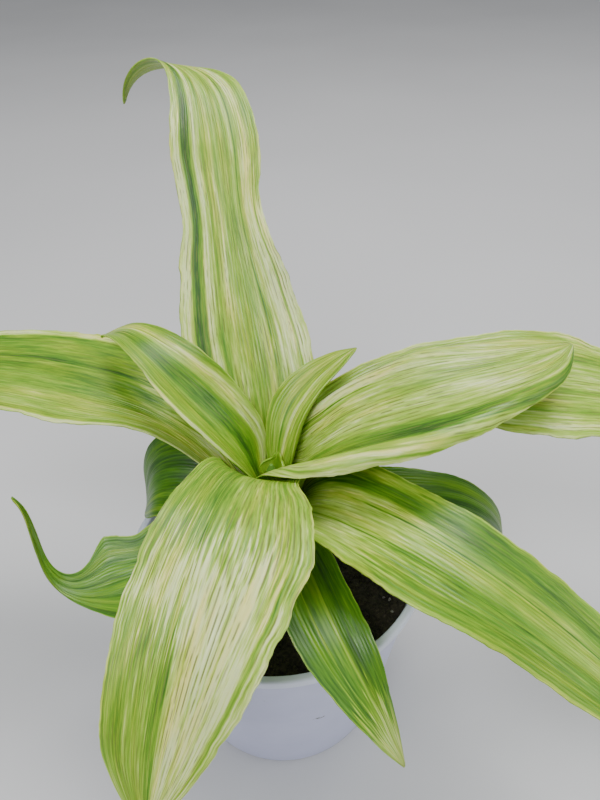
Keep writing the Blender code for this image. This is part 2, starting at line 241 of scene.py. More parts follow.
def pot_profile():
    """Up the outside from the base, over the lip and down the inside."""
    lip_foot = POT_HEIGHT - LIP_HEIGHT
    profile = arc(POT_BASE_RADIUS - BASE_ROUND, BASE_ROUND, BASE_ROUND, -90, -8, 7)
    for height in np.linspace(BASE_ROUND + 0.8, lip_foot - 0.4, POT_ROWS):
        nearest = min(abs(height - ring) for ring in MOULD_RINGS)
        groove = RING_DEPTH * np.exp(-(nearest / RING_WIDTH) ** 2)
        profile.append((POT_BASE_RADIUS + POT_SLOPE * height - groove, height))
    profile += arc(POT_RIM_RADIUS - LIP_FOOT_ROUND, lip_foot + LIP_FOOT_ROUND, LIP_FOOT_ROUND, -80, 0, 5)
    profile += arc(POT_RIM_RADIUS - LIP_TOP_ROUND, POT_HEIGHT - LIP_TOP_ROUND, LIP_TOP_ROUND, 0, 90, 7)
    inside_top, inside_low = POT_HEIGHT - LIP_INSIDE_ROUND, POT_FLOOR + FLOOR_ROUND
    profile += arc(INSIDE_TOP_RADIUS + LIP_INSIDE_ROUND, inside_top, LIP_INSIDE_ROUND, 90, 180, 6)
    for share in np.linspace(0.1, 1, 8):
        profile.append((INSIDE_TOP_RADIUS + (INSIDE_LOW_RADIUS - INSIDE_TOP_RADIUS) * share,
                        inside_top + (inside_low - inside_top) * share))
    profile.append((INSIDE_LOW_RADIUS - FLOOR_ROUND, POT_FLOOR))
    return profile


pot_plastic, tree, shader = new_material("white_pot_plastic")
place = place_on_piece(tree)
clouds = noise(tree, place, 45.0, 3.0)
specks = smooth_step(tree, noise(tree, place, 520.0, 2.0, 0.6), 0.70, 0.76)
patches = smooth_step(tree, noise(tree, place, 60.0), 0.52, 0.66)
to_scuff = added(tree, place, tuple(-v * MM for v in SCUFF_PLACE))
turned = {"Vector": to_scuff, "Rotation": (0, -0.45, 0), "Scale": (1, 1, 3.2)}
drawn = node_out(tree, "ShaderNodeMapping", turned)
from_scuff = add_node(tree, "ShaderNodeVectorMath", {0: drawn}, operation="LENGTH").outputs["Value"]
scuff = (smooth_step(tree, from_scuff, SCUFF_CORE * MM, SCUFF_RADIUS * MM, 1.0, 0.0)
         * smooth_step(tree, noise(tree, place, 900.0), 0.42, 0.60))
# Painted highlight: the top of the lip is painted whiter than the wall, where the rim catches the light.
lip_highlight = smooth_step(tree, coordinates(tree, place)[2],
                     (POT_HEIGHT - LIP_HIGHLIGHT_FROM) * MM, (POT_HEIGHT - LIP_HIGHLIGHT_FULL) * MM)
white = mix_colours(tree, lip_highlight, colour_ramp(tree, clouds, WALL_WHITES), LIP_PAINTED_HIGHLIGHT)
stains = maths(tree, "MAXIMUM", specks * patches * 0.5, scuff * 0.9)
feed(tree, shader.inputs["Base Color"], mix_colours(tree, stains, white, SOIL_STAIN))
feed(tree, shader.inputs["Roughness"], smooth_step(tree, clouds, 0.3, 0.7, 0.28, 0.42))
shader.inputs["IOR"].default_value = 1.49
bump(tree, shader, noise(tree, place, 260.0), 0.00006, 0.5)

pot = turned_mesh("potted_pot", pot_profile(), POT_STEPS, pot_plastic)
finish_piece(pot, "pot", 32.0)


# Potting soil: dark peat pressed round the stem, loose and crumbly on top, with a few pale bits
# of perlite and slivers of bark. The crumbs are strewn over the top by geometry nodes.
SOIL_LEVEL, SOIL_HOLE_DEPTH = 74.0, 24.0
STEM_BASE_RADIUS, STEM_TOP_RADIUS, STEM_TOP = 6.5, 2.4, 122.0
GAP = 0.3                              # between a piece and its neighbour
INSIDE_SLOPE_END = 0.6                 # below the top of the pot
SOIL_STEPS, SOIL_RINGS = 128, 34
CRUMB_DENSITY, PERLITE_DENSITY = 330000.0, 5200.0      # in a square metre
CRUMB_SIZES, PERLITE_SIZES = (0.35, 1.15), (0.4, 0.95)
CRUMB_FLATNESS, PERLITE_FLATNESS = 0.65, 0.55
CRUMB_ROUGHNESS, FULL_TURN = 1.7, 6.28
PEAT_COLOURS = ((0.40, (0.011, 0.010, 0.006)), (0.60, (0.056, 0.046, 0.028)),
                (0.72, (0.14, 0.115, 0.075)))
PERLITE_COLOURS = ((0.35, (0.20, 0.18, 0.16)), (0.6, (0.42, 0.40, 0.37)))


def soil_radius(height):
    """Just inside the pot's inner wall."""
    foot = POT_FLOOR + FLOOR_ROUND
    share = (height - foot) / (POT_HEIGHT - INSIDE_SLOPE_END - foot)
    return INSIDE_LOW_RADIUS + (INSIDE_TOP_RADIUS - INSIDE_LOW_RADIUS) * share - GAP - 0.1


def lumps(x, y):
    """Gentle heaps and hollows, in millimetres."""
    return (0.9 * np.sin(0.13 * x + 0.4) * np.cos(0.17 * y - 1.1) + 0.6 * np.sin(0.31 * x - 0.22 * y)
            + 0.4 * np.sin(0.47 * y + 0.39 * x + 2.0) + 0.25 * np.sin(0.9 * x - 0.8 * y))


def build_soil(material):
    """Rings of points up from the stem's hole, out over the heap and down the pot's wall."""
    angles = 2 * np.pi * np.arange(SOIL_STEPS) / SOIL_STEPS
    hole = STEM_BASE_RADIUS + GAP + 0.15
    low = POT_FLOOR + GAP
    rings = [(hole, SOIL_LEVEL - SOIL_HOLE_DEPTH)]
    for share in np.linspace(0, 1, SOIL_RINGS):
        radius = hole + (soil_radius(SOIL_LEVEL - 1.6) - hole) * share
        calm = min(1.0, 8 * share, 0.25 + 6 * (1 - share))
        height = (SOIL_LEVEL - 0.4 - 1.4 * share ** 6
                  + calm * lumps(radius * np.cos(angles), radius * np.sin(angles)))
        rings.append((np.minimum(radius, soil_radius(height)), height))
    rings += [(soil_radius(POT_FLOOR + 2.0), POT_FLOOR + 2.0), (soil_radius(low) - 1.5, low)]
    points = []
    for radius, height in rings:
        heights = np.broadcast_to(height, SOIL_STEPS)
        points += zip(radius * np.cos(angles) * MM, radius * np.sin(angles) * MM, heights * MM)
    faces = []
    for ring in range(len(rings) - 1):
        for i in range(SOIL_STEPS):
            a, b = ring * SOIL_STEPS + i, ring * SOIL_STEPS + (i + 1) % SOIL_STEPS
            faces.append((a, a + SOIL_STEPS, b + SOIL_STEPS, b))
    faces.append(tuple(range(SOIL_STEPS)))
    faces.append(tuple(reversed(range((len(rings) - 1) * SOIL_STEPS, len(rings) * SOIL_STEPS))))
    mesh = bpy.data.meshes.new("soil_heap")
    mesh.from_pydata(points, [], faces)
    mesh.materials.append(material)
    top = np.zeros(len(points), np.float32)
    top[2 * SOIL_STEPS:(SOIL_RINGS - 1) * SOIL_STEPS] = 1.0
    mesh.attributes.new("strewn", "FLOAT", "POINT").data.foreach_set("value", top)
    return mesh


def named(tree, label, kind="FLOAT"):
    """What is stored on the points under this name."""
    return node_out(tree, "GeometryNodeInputNamedAttribute", {"Name": label}, data_type=kind)


def here(tree):
    """Where the point that is worked on lies."""
    return node_out(tree, "GeometryNodeInputPosition")


def scaled(tree, vector, by):
    return node_out(tree, "ShaderNodeVectorMath", {0: vector, "Scale": by}, operation="SCALE")


def realized(tree, geometry, material):
    real = node_out(tree, "GeometryNodeRealizeInstances", {"Geometry": geometry})
    return node_out(tree, "GeometryNodeSetMaterial", {"Geometry": real, "Material": material})


def strew(tree, heap, shapes, density, seed, sizes, material):
    """Scatter random turns and sizes of the shapes over the top of the heap."""
    chosen = maths(tree, "GREATER_THAN", named(tree, "strewn"), 0.99)
    points = add_node(tree, "GeometryNodeDistributePointsOnFaces",
                      {"Mesh": heap, "Selection": chosen, "Density": density, "Seed": seed}).outputs["Points"]
    turn = node_out(tree, "FunctionNodeRandomValue", {"Max": (FULL_TURN,) * 3, "Seed": 3},
                    data_type="FLOAT_VECTOR")
    size = add_node(tree, "FunctionNodeRandomValue", {2: sizes[0] * MM, 3: sizes[1] * MM, "Seed": 5},
                    data_type="FLOAT").outputs[1]
    which = add_node(tree, "FunctionNodeRandomValue", {4: 0, 5: 2, "Seed": 8}, data_type="INT").outputs[2]
    strewn = node_out(tree, "GeometryNodeInstanceOnPoints",
                      {"Points": points, "Instance": shapes, "Pick Instance": True,
                       "Instance Index": which, "Rotation": turn, "Scale": size})
    return realized(tree, strewn, material)


def crumb_shapes(tree, flatness):
    """Three small lumps, each knocked out of round in its own way."""
    shapes = add_node(tree, "GeometryNodeGeometryToInstance")
    for number in range(3):
        ball = node_out(tree, "GeometryNodeMeshIcoSphere", {"Radius": 1.0, "Subdivisions": 1})
        moved = added(tree, here(tree), (4.0 * number, 1.7, 0.3))
        rough = add_node(tree, "ShaderNodeTexNoise", {"Vector": moved, "Scale": 1.4}).outputs[1]
        push = scaled(tree, added(tree, rough, (-0.5, -0.5, -0.5)), CRUMB_ROUGHNESS)
        lump = node_out(tree, "GeometryNodeSetPosition", {"Geometry": ball, "Offset": push})
        flat = node_out(tree, "GeometryNodeTransform", {"Geometry": lump, "Scale": (1.0, 0.75, flatness)})
        tree.links.new(flat, shapes.inputs[0])
    return shapes.outputs[0]


def tree_inputs(name, sockets):
    """A geometry tree with named inputs; gives the tree, its input node and its output node."""
    tree = bpy.data.node_groups.new(name, "GeometryNodeTree")
    tree.interface.new_socket("Geometry", in_out="INPUT", socket_type="NodeSocketGeometry")
    tree.interface.new_socket("Geometry", in_out="OUTPUT", socket_type="NodeSocketGeometry")
    for label, kind in sockets:
        tree.interface.new_socket(label, in_out="INPUT", socket_type="NodeSocket" + kind)
    return tree, tree.nodes.new("NodeGroupInput"), tree.nodes.new("NodeGroupOutput")


def grown(name, start_mesh, tree, values):
    """Run a geometry tree on a start mesh with these input values, and keep the plain result."""
    holder = put(name + "_start", start_mesh)
    modifier = holder.modifiers.new("grow", "NODES")
    modifier.node_group = tree
    for item in tree.interface.items_tree:
        if item.in_out == "INPUT" and item.name in values:
            modifier[item.identifier] = values[item.name]
    graph = bpy.context.evaluated_depsgraph_get()
    mesh = bpy.data.meshes.new_from_object(holder.evaluated_get(graph), depsgraph=graph)
    mesh.name = name
    bpy.data.objects.remove(holder, do_unlink=True)
    return put(name, mesh)


def grainy_material(name, stops, roughness):
    material, tree, shader = new_material(name)
    place = place_on_piece(tree)
    grain = noise(tree, place, 900.0, 4.0, 0.65)
    clods = noise(tree, place, 160.0)
    feed(tree, shader.inputs["Base Color"], colour_ramp(tree, grain * 0.6 + clods * 0.4, stops))
    shader.inputs["Roughness"].default_value = roughness
    bump(tree, shader, grain, 0.0006)
    return material


peat = grainy_material("peat", PEAT_COLOURS, 0.92)
perlite = grainy_material("perlite", PERLITE_COLOURS, 0.85)

crumb_tree, given, result = tree_inputs("soil_crumbs", (
    ("Crumb Density", "Float"), ("Perlite Density", "Float"), ("Seed", "Int"),
    ("Peat", "Material"), ("Perlite", "Material")))
asked = given.outputs
heap = asked["Geometry"]
crumbs = strew(crumb_tree, heap, crumb_shapes(crumb_tree, CRUMB_FLATNESS), asked["Crumb Density"],
               asked["Seed"], CRUMB_SIZES, asked["Peat"])
bits = strew(crumb_tree, heap, crumb_shapes(crumb_tree, PERLITE_FLATNESS), asked["Perlite Density"],
             11, PERLITE_SIZES, asked["Perlite"])
joined = add_node(crumb_tree, "GeometryNodeJoinGeometry", {0: heap})
crumb_tree.links.new(crumbs, joined.inputs[0])
crumb_tree.links.new(bits, joined.inputs[0])
crumb_tree.links.new(joined.outputs[0], result.inputs[0])

soil = grown("potted_soil", build_soil(peat), crumb_tree,
             {"Crumb Density": CRUMB_DENSITY, "Perlite Density": PERLITE_DENSITY, "Seed": 4,
              "Peat": peat, "Perlite": perlite})
finish_piece(soil, "soil", 60.0)


# The leaves. Each grows from a sheath that wraps the stem, and arches out as a thin, limp strap
# with soft pleats along it and waved margins, cream with frayed green stripes. Geometry nodes
# spread each blade along its midrib.
SHEATH, WRAP, FLARE = 8.0, 95.0, 19.0  # its length, the angle it wraps each way, its slope
SHEATH_CLEARANCE = 0.8                 # from the stem
TIP_OVER, MARGIN_STRIP = 0.16, 0.3     # shares of a blade's length and half width
BLADE = 0.8                            # its thickness

# A leaf's shape, with the values that the part's source has. azimuth and node say where it leaves
# the stem, and wrap how far its sheath goes round. The rest is read along the blade: pitch,
# heading and roll turn the midrib, cup and curl bend the blade across, and outline is its half
# width. Names that start with left_ are for the half on the left, looking away from the stem.
# wave is how high the waves of the margins are, how many there are and where they start.
LEAVES = {
    "leaf_back_upright": {
        "azimuth": 102, "node": 106, "wrap": 72, "length": 200, "width": 45,
        "pitch": (56, 50, 49, 48, 46, 30, -5, -78), "heading": (103, 103, 102, 100, 100, 114, 160, 187),
        "roll": (0, 0, 0, 0, 0, 5, 18, 27), "cup": (40, 25, 15, 10, 10, 20),
        "outline": (0.92, 0.98, 0.78, 0.58, 0.68, 0.61, 0.34, 0.03),
        "left_outline": (0.95, 1.05, 0.9, 0.7, 0.74, 0.56, 0.36, 0.03), "wave": (1.2, 3.0, 0.1)},
    "leaf_left_long": {
        "azimuth": 155, "node": 96, "wrap": 82, "length": 205, "width": 42,
        "pitch": (36, 12, 2, -9, -20, -28), "heading": (158, 164, 164, 162, 161, 162),
        "roll": (-14, -12, -9, -8, -5, 0), "cup": (46, 24, 15, 12, 10),
        "outline": (0.95, 1.0, 1.08, 1.05, 0.84, 0.7, 0.46, 0.03),
        "left_outline": (0.52, 0.56, 0.88, 0.96, 0.93, 0.74, 0.5, 0.03), "wave": (1.0, 3.0, 0.4)},
    "leaf_right_long": {
        "azimuth": 24, "node": 92, "wrap": 86, "length": 215, "width": 43,
        "pitch": (44, 16, -4, -16, -22, -28), "heading": (12, 2, -2, 0, 4, 8),
        "roll": (20, 20, 18, 15, 10, 0), "cup": (40, 22, 15, 12, 10),
        "outline": (0.7, 0.6, 0.78, 1.06, 1.0, 0.84, 0.56, 0.03),
        "left_outline": (0.93, 0.88, 0.88, 0.92, 0.88, 0.74, 0.5, 0.03), "wave": (1.2, 3.4, 0.2)},
    "leaf_front_right": {
        "azimuth": -44, "node": 99, "wrap": 80, "length": 178, "width": 33,
        "pitch": (23, -2, -16, -26, -28, -30), "heading": (-42, -39, -36, -34, -32, -30),
        "roll": (6, 4, 2, 0, 0, 0), "cup": (42, 22, 15, 12, 10),
        "outline": (1.25, 1.33, 1.34, 1.2, 0.95, 0.77, 0.5, 0.03),
        "left_outline": (1.0, 1.0, 0.94, 1.0, 0.96, 0.8, 0.5, 0.03), "wave": (1.0, 3.0, 0.7)},
    "leaf_front": {
        "azimuth": -107, "node": 102, "sheath": 28.0, "wrap": 64, "left_wrap": 76, "length": 149, "width": 48,
        "pitch": (50, 20, 2, -12, -24, -36, -45, -51, -54, -56),
        "heading": (-107, -106, -107, -109, -106, -100),
        "roll": (-8, -2, 0, 0, 0, 0), "cup": (24, 16, 12, 12, 12, 12, 10, 10),
        "outline": (0.54, 0.56, 0.62, 0.69, 0.69, 0.62, 0.5, 0.03),
        "left_outline": (0.68, 0.98, 1.2, 1.16, 1.0, 0.78, 0.47, 0.03), "wave": (1.0, 2.6, 0.3)},
    "leaf_upper_left": {
        "azimuth": 168, "node": 113.6, "wrap": 58, "left_wrap": 72, "length": 96, "width": 24,
        "pitch": (62, 48, 40, 18, -22, -34), "heading": (164, 155, 147, 140, 136, 135),
        "roll": (-8, -10, -10, -5, 0, 0), "cup": (60, 42, 30, 20, 15),
        "outline": (1.02, 1.1, 1.12, 0.98, 0.8, 0.62, 0.44, 0.03),
        "left_outline": (1.06, 1.1, 1.02, 0.88, 0.7, 0.54, 0.4, 0.03), "wave": (0.6, 2.0, 0.2)},
    "leaf_upper_right": {
        "azimuth": -12, "node": 110, "wrap": 118, "left_wrap": 80, "length": 123, "width": 37,
        "pitch": (62, 42, 30, 22, 14, 6, -2, -8), "heading": (-10, -8, -4, 4, 12, 20, 26, 30),
        "roll": (4, 6, 8, 10, 10, 8, 4, 0), "cup": (110, 70, 52, 42, 36, 30, 26, 24),
        "left_cup": (64, 48, 40, 36, 32, 28, 26, 24),
        "curl": (66, 130, 128, 115, 105, 95, 70, 40),
        "outline": (1.24, 1.44, 1.4, 1.32, 1.22, 1.02, 0.7, 0.03),
        "left_outline": (0.84, 0.98, 1.05, 0.98, 0.86, 0.66, 0.42, 0.03), "wave": (0.8, 2.4, 0.6)},
    "leaf_inner": {
        "azimuth": 52, "node": 117.2, "wrap": 64, "left_wrap": 52, "length": 55, "width": 22,
        "pitch": (58, 47, 41, 37, 34), "heading": (50, 37, 28, 23, 19),
        "roll": (0, 0, 0, 0, 0), "cup": (84, 76, 62, 42, 24),
        "left_cup": (70, 62, 50, 36, 20),
        "outline": (0.84, 0.96, 0.92, 0.78, 0.6, 0.44, 0.28, 0.03),
        "left_outline": (0.68, 0.86, 0.99, 0.98, 0.86, 0.68, 0.42, 0.03), "wave": (0.0, 2.0, 0.0)},
    "leaf_low_front": {
        "azimuth": -69, "node": 85, "wrap": 66, "length": 110, "width": 22,
        "pitch": (33, 8, -7, -34, -55, -60), "heading": (-73, -73, -70, -58, -44, -38),
        "roll": (12, 5, 0, 0, 0, 0), "cup": (42, 25, 15, 12, 10),
        "outline": (1.0, 1.18, 1.26, 1.22, 1.05, 0.76, 0.44, 0.03),
        "left_outline": (0.85, 0.85, 0.87, 0.88, 0.84, 0.68, 0.42, 0.03), "wave": (0.6, 2.2, 0.5)},
    "leaf_low_left": {
        "azimuth": 209, "node": 88, "wrap": 88, "length": 121, "width": 40,
        "pitch": (9, -8, -13, -11, 14, 66, 88, 56), "heading": (214, 210, 203, 189, 166, 122, 112, 180),
        "roll": (0, 0, -8, -22, -30, -20, 0, 0), "cup": (50, 25, 15, 20, 50),
        "outline": (0.95, 0.96, 0.78, 0.94, 0.38, 0.1, 0.06, 0.03),
        "left_outline": (0.95, 1.04, 1.18, 0.46, 0.1, 0.05, 0.04, 0.03), "wave": (0.6, 2.0, 0.3)},
    "leaf_low_back_left": {
        "azimuth": 140, "node": 81, "wrap": 86, "length": 80, "width": 34,
        "pitch": (40, 16, -16, -68, -80), "heading": (145, 160, 170, 175, 180),
        "roll": (-20, -36, -36, -20, 0), "cup": (50, 25, 15, 12, 10),
        "outline": (0.92, 1.0, 1.0, 0.96, 0.88, 0.74, 0.5, 0.03),
        "left_outline": (0.92, 1.0, 1.06, 1.12, 1.12, 1.0, 0.7, 0.03), "wave": (0.4, 1.6, 0.8)},
    "leaf_low_right": {
        "azimuth": 0, "node": 77, "wrap": 86, "length": 118, "width": 36,
        "pitch": (28, 9, 0, -36, -75, -80), "heading": (0, -4, -6, -3, 0, 0),
        "roll": (0, 0, 0, 0, 0, 0), "cup": (50, 25, 15, 12, 10),
        "outline": (0.92, 1.0, 1.0, 0.96, 0.88, 0.74, 0.5, 0.03), "wave": (0.6, 2.4, 0.1)},
    "leaf_bud": {
        "azimuth": 60, "node": 120.8, "sheath": 4.0, "length": 8, "width": 6,
        "pitch": (85, 84, 82), "heading": (60, 60, 60),
        "roll": (0, 0, 0), "cup": (75, 60, 30),
        "outline": (0.9, 0.6, 0.08), "wave": (0.0, 1.0, 0.0)},
}

# How each leaf is marked, seen from above with its foot at the bottom. A stripe is
# (place across, width, green, from, to). Place and width are shares of the leaf's width, counted
# from its right margin. From and to are shares of its length, beyond its ends at -1 and 2, and are
# left out of a stripe that runs all along it. Green runs from about 0, cream, to 1, the deepest
# green. drift moves the stripes sideways.
MARKINGS = {
    "leaf_back_upright": {
        "ground": 0.38, "streaks": 0.34, "dashes": 0.8,
        "stripes": (
            (0.07, 0.16, 0.03, -1, 0.62), (0.20, 0.12, 0.12, -1, 0.9), (0.10, 0.018, 0.50, -1, 0.8),
            (0.285, 0.05, 0.46), (0.30, 0.014, 0.78, 0.3, 0.95), (0.48, 0.08, 0.48),
            (0.58, 0.05, 0.16), (0.66, 0.03, 0.57), (0.745, 0.07, 0.05), (0.835, 0.115, 0.76),
            (0.84, 0.045, 0.96, 0.2, 0.95), (0.94, 0.09, 0.03, -1, 0.75))},
    "leaf_left_long": {
        "ground": 0.60, "streaks": 0.30, "dashes": 0.5,
        "stripes": (
            (0.03, 0.05, 0.10), (0.26, 0.34, 0.62), (0.30, 0.03, 0.86, 0.2, 2),
            (0.40, 0.05, 0.70, 0.3, 2), (0.55, 0.12, 0.56), (0.78, 0.30, 0.39), (0.98, 0.05, 0.08),
            (0.5, 1.0, 0.20, -1, 0.32))},
    "leaf_right_long": {
        "ground": 0.30, "streaks": 0.32, "dashes": 0.8,
        "stripes": (
            (0.10, 0.06, 0.06), (0.25, 0.025, 0.55, 0.2, 2), (0.45, 0.03, 0.50, 0.2, 2),
            (0.80, 0.08, 0.60), (0.68, 0.03, 0.5))},
    "leaf_front_right": {
        "ground": 0.68, "streaks": 0.26, "dashes": 0.4,
        "stripes": (
            (0.17, 0.30, 0.67), (0.535, 0.28, 0.45), (0.5, 1.0, 0.24, -1, 0.42),
            (0.34, 0.014, 0.86, 0.2, 2), (0.61, 0.014, 0.84, 0.3, 2), (0.80, 0.17, 0.38, -1, 0.22),
            (0.80, 0.17, 0.76, 0.20, 0.72), (0.80, 0.10, 0.68, 0.70, 2), (0.975, 0.04, 0.50),
            (0.02, 0.04, 0.40))},
    "leaf_front": {
        "ground": 0.32, "streaks": 0.42, "dashes": 0.85,
        "stripes": (
            (0.5, 1.0, 0.46, -1, 0.58), (0.20, 0.40, 0.56, -1, 0.60), (0.42, 0.18, 0.66, -1, 0.64),
            # The band across the whole width from 0.59 to 0.71 is partly the blade's own cream and partly a
            # painted highlight: the sheen of the light across the middle of the blade.
            (0.5, 1.0, -0.02, 0.59, 0.71), (0.47, 0.09, 0.62, 0.68, 2), (0.50, 0.025, 0.86, 0.70, 2),
            (0.20, 0.40, 0.50, 0.70, 2), (0.74, 0.40, 0.06, 0.60, 0.97), (0.92, 0.03, 0.50))},
    "leaf_upper_left": {
        "ground": 0.56, "streaks": 0.28, "dashes": 0.5, "drift": (-0.06, -0.02, 0.05, 0.14, 0.10),
        "stripes": (
            (0.12, 0.18, 0.16), (0.25, 0.03, 0.58), (0.405, 0.19, 0.82, -1, 0.86), (0.62, 0.025, 0.60),
            (0.69, 0.03, 0.52), (0.93, 0.14, 0.05), (0.5, 1.0, 0.30, 0.86, 2))},
    "leaf_upper_right": {
        "ground": 0.26, "streaks": 0.32, "dashes": 0.8,
        "drift": (0.75, 0.60, 0.14, 0.01, 0.005, -0.01, -0.04, -0.09, -0.155, -0.21, -0.26),
        "stripes": (
            (0.0, 0.26, 0.20), (0.045, 0.014, 0.46), (0.10, 0.008, 0.44), (0.25, 0.24, 0.76, -1, 0.45),
            (0.235, 0.18, 0.78, 0.40, 0.66), (0.235, 0.12, 0.76, 0.60, 2),
            (0.205, 0.075, 0.90, 0.26, 0.62), (0.69, 0.13, 0.42, 0.58, 0.80),
            # The thin deep green line at 0.81, from 0.16 to 0.50, is painted shade: the shadow of a crease
            # along the blade that its shape doesn't have. The pale strip beyond it is partly the margin's
            # cream and partly a painted highlight on the far side of that crease.
            (0.91, 0.18, 0.03, 0.14, 0.52), (0.81, 0.014, 0.85, 0.16, 0.50))},
    "leaf_inner": {
        "ground": 0.42, "streaks": 0.34, "dashes": 0.4,
        "stripes": (
            (0.18, 0.20, 0.66), (0.55, 0.08, 0.14), (0.68, 0.05, 0.60), (0.86, 0.05, 0.50))},
    "leaf_low_front": {
        "ground": 0.72, "streaks": 0.24, "dashes": 0.2,
        "stripes": (
            (0.12, 0.14, 0.80, -1, 0.86), (0.22, 0.015, 0.45, 0.2, 2), (0.33, 0.015, 0.42, 0.2, 2),
            (0.53, 0.05, 0.44), (0.785, 0.25, 0.84, -1, 0.86), (0.5, 1.0, 0.14, 0.86, 2))},
    "leaf_low_left": {
        "ground": 0.78, "streaks": 0.24, "dashes": 0.2,
        "stripes": ((0.3, 0.3, 0.76), (0.75, 0.2, 0.66))},
    "leaf_low_back_left": {
        "ground": 0.80, "streaks": 0.20, "dashes": 0.1,
        "stripes": ((0.4, 0.3, 0.88), (0.75, 0.04, 0.62), (0.90, 0.04, 0.58))},
    "leaf_low_right": {
        "ground": 0.76, "streaks": 0.18, "dashes": 0.1,
        "stripes": ((0.3, 0.06, 0.60), (0.55, 0.3, 0.84), (0.85, 0.1, 0.64))},
    "leaf_bud": {
        "ground": 0.45, "streaks": 0.22, "dashes": 0.1, "margin": 0.0,
        "stripes": ((0.5, 0.2, 0.6),)},
}
WHOLE_LENGTH = (-1, 2)
ROW_SPACING, EXTRA_ROWS = 1.25, 12     # rows of points along a blade
ROW_BUNCHING = 1.15                    # draws the rows together towards the foot
FINE = 4                               # steps from row to row while a midrib is drawn
LEAF_COLUMNS, BUD_COLUMNS = 41, 21     # points across one face of a blade
RIB_SPACING, RIB_HEIGHT = 3.6, 0.16    # the soft pleats that run along a blade
NICK_DEPTH, NICKS_EACH_METRE = 0.10, 95.0      # in the margins; depth as a share of the half width
EDGE_THINNING = 0.55                   # the share of its thickness that a margin loses
STRIPE_SOFTNESS, STRIPE_FADE = 0.22, 0.07      # shares of its width and of the leaf's length


def through(values, place):
    """Smooth curve through evenly spaced values, read where place runs from 0 to 1."""
    values = np.asarray(values, float)
    last = len(values) - 1
    x = np.clip(np.asarray(place, float), 0, 1) * last
    i = np.clip(np.floor(x).astype(int), 0, last - 1)
    t = x - i
    p1, p2 = values[i], values[i + 1]
    p0 = np.where(i > 0, values[np.maximum(i - 1, 0)], 2 * p1 - p2)
    p3 = np.where(i < last - 1, values[np.minimum(i + 2, last)], 2 * p2 - p1)
    return p1 + 0.5 * t * (p2 - p0 + t * (2 * p0 - 5 * p1 + 4 * p2 - p3 + t * (3 * (p1 - p2) + p3 - p0)))


def ease(x):
    """From 0 to 1, slowly at both ends."""
    x = np.clip(x, 0, 1)
    return x * x * (3 - 2 * x)


def stem_radius(height):
    share = (height - SOIL_LEVEL) / (STEM_TOP - SOIL_LEVEL)
    return STEM_BASE_RADIUS + (STEM_TOP_RADIUS - STEM_BASE_RADIUS) * np.clip(share, 0, 1)


